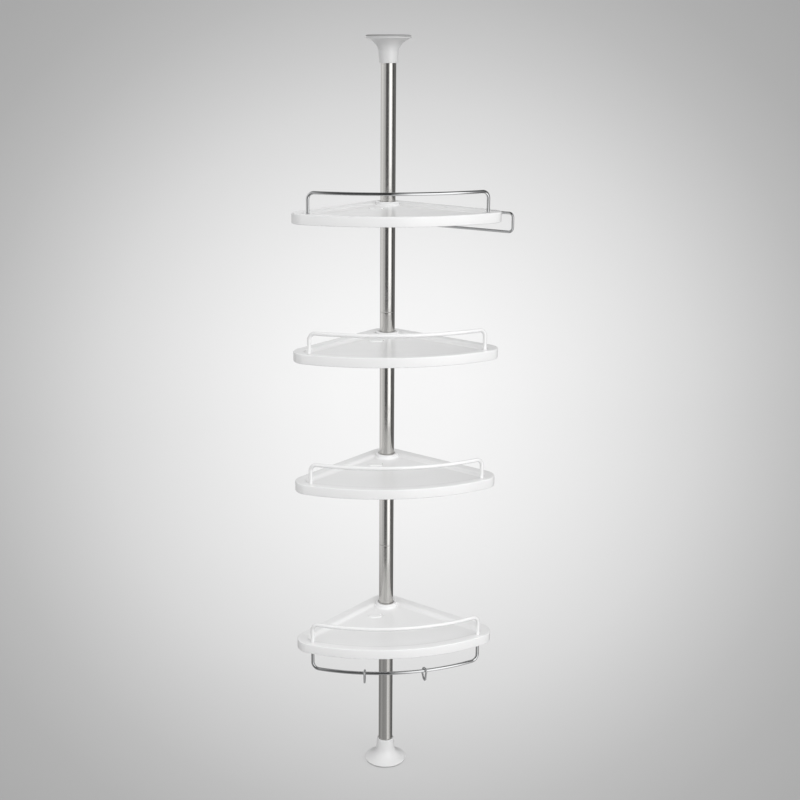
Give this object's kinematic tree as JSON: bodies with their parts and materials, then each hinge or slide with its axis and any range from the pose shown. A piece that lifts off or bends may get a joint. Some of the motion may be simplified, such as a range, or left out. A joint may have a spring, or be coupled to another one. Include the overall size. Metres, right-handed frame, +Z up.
{
  "type": "tension pole shelf unit",
  "caption": "Corner caddy of bowed quarter-round trays with wire rails on a spring-loaded steel pole, with a towel loop, a hanging rail and hooks.",
  "frame": {"origin": "centre of the flat underside of the foot pad, where the pole stands on the floor", "axes": "+Z up along the pole, +Y towards the room's corner behind the pole, -Y out over the bowed fronts of the trays"},
  "size_m": [0.3444, 0.2283, 1.2867],
  "materials": {
    "white_plastic": "satin moulded",
    "stainless_tube": "polished lengthwise",
    "chrome_wire": "mirror",
    "white_coating": "dip-coated steel wire",
    "grey_rubber": "matt",
    "inner_plastic": "plain moulded",
    "spring_steel": "bright drawn"
  },
  "bodies": {
    "pole": {"foot_pad": "grey_rubber", "foot_cup": "white_plastic", "lower_tube": "stainless_tube", "middle_tube": "stainless_tube", "upper_tube": "stainless_tube", "lower_connector": "inner_plastic", "upper_connector": "inner_plastic", "guide_bush": "inner_plastic", "spring_seat": "inner_plastic", "tension_spring": "spring_steel"},
    "ceiling_end": {"ceiling_pad": "grey_rubber", "ceiling_cup": "white_plastic", "plunger_head": "spring_steel", "plunger_rod": "spring_steel", "stop_disc": "spring_steel"},
    "top_clamp": {"top_clip_front": "white_plastic", "top_clip_rear": "white_plastic"},
    "top_shelf": {"top_tray": "white_plastic", "top_rail": "chrome_wire", "towel_loop": "chrome_wire"},
    "upper_clamp": {"upper_clip_front": "white_plastic", "upper_clip_rear": "white_plastic"},
    "upper_shelf": {"upper_tray": "white_plastic", "upper_rail": "white_coating"},
    "lower_clamp": {"lower_clip_front": "white_plastic", "lower_clip_rear": "white_plastic"},
    "lower_shelf": {"lower_tray": "white_plastic", "lower_rail": "white_coating"},
    "bottom_clamp": {"bottom_clip_front": "white_plastic", "bottom_clip_rear": "white_plastic"},
    "bottom_shelf": {"bottom_tray": "white_plastic", "bottom_rail": "white_coating", "hanging_rail": "chrome_wire"},
    "left_hook": {"left_hook": "chrome_wire"},
    "right_hook": {"right_hook": "chrome_wire"}
  },
  "joints": [
    {"name": "ceiling_slide", "type": "slide", "parent": "pole", "child": "ceiling_end", "axis": [0, 0, 1], "range_m": [-0.02, 0], "stiffness_N_per_m": 3000, "deforming": ["tension_spring"]},
    {"name": "top_height", "type": "slide", "parent": "pole", "child": "top_clamp", "axis": [0, 0, 1], "range_m": [-0.07, 0.17]},
    {"name": "top_swivel", "type": "hinge", "parent": "top_clamp", "child": "top_shelf", "pos_m": [0, 0, 1.02196], "axis": [0, 0, 1], "continuous": true},
    {"name": "upper_height", "type": "slide", "parent": "pole", "child": "upper_clamp", "axis": [0, 0, 1], "range_m": [-0.07, 0.07]},
    {"name": "upper_swivel", "type": "hinge", "parent": "upper_clamp", "child": "upper_shelf", "pos_m": [0, 0, 0.80446], "axis": [0, 0, 1], "continuous": true},
    {"name": "lower_height", "type": "slide", "parent": "pole", "child": "lower_clamp", "axis": [0, 0, 1], "range_m": [-0.07, 0.07]},
    {"name": "lower_swivel", "type": "hinge", "parent": "lower_clamp", "child": "lower_shelf", "pos_m": [0, 0, 0.58945], "axis": [0, 0, 1], "continuous": true},
    {"name": "bottom_height", "type": "slide", "parent": "pole", "child": "bottom_clamp", "axis": [0, 0, 1], "range_m": [-0.18, 0.07]},
    {"name": "bottom_swivel", "type": "hinge", "parent": "bottom_clamp", "child": "bottom_shelf", "pos_m": [0, 0, 0.31151], "axis": [0, 0, 1], "continuous": true},
    {"name": "left_hook_swing", "type": "hinge", "parent": "bottom_shelf", "child": "left_hook", "pos_m": [-0.05523, -0.17474, 0.26451], "axis": [0.9833, -0.1822, 0], "range_deg": [-60, 60]},
    {"name": "right_hook_swing", "type": "hinge", "parent": "bottom_shelf", "child": "right_hook", "pos_m": [0.0448, -0.17649, 0.26451], "axis": [0.989, 0.1478, 0], "range_deg": [-60, 60]}
  ]
}
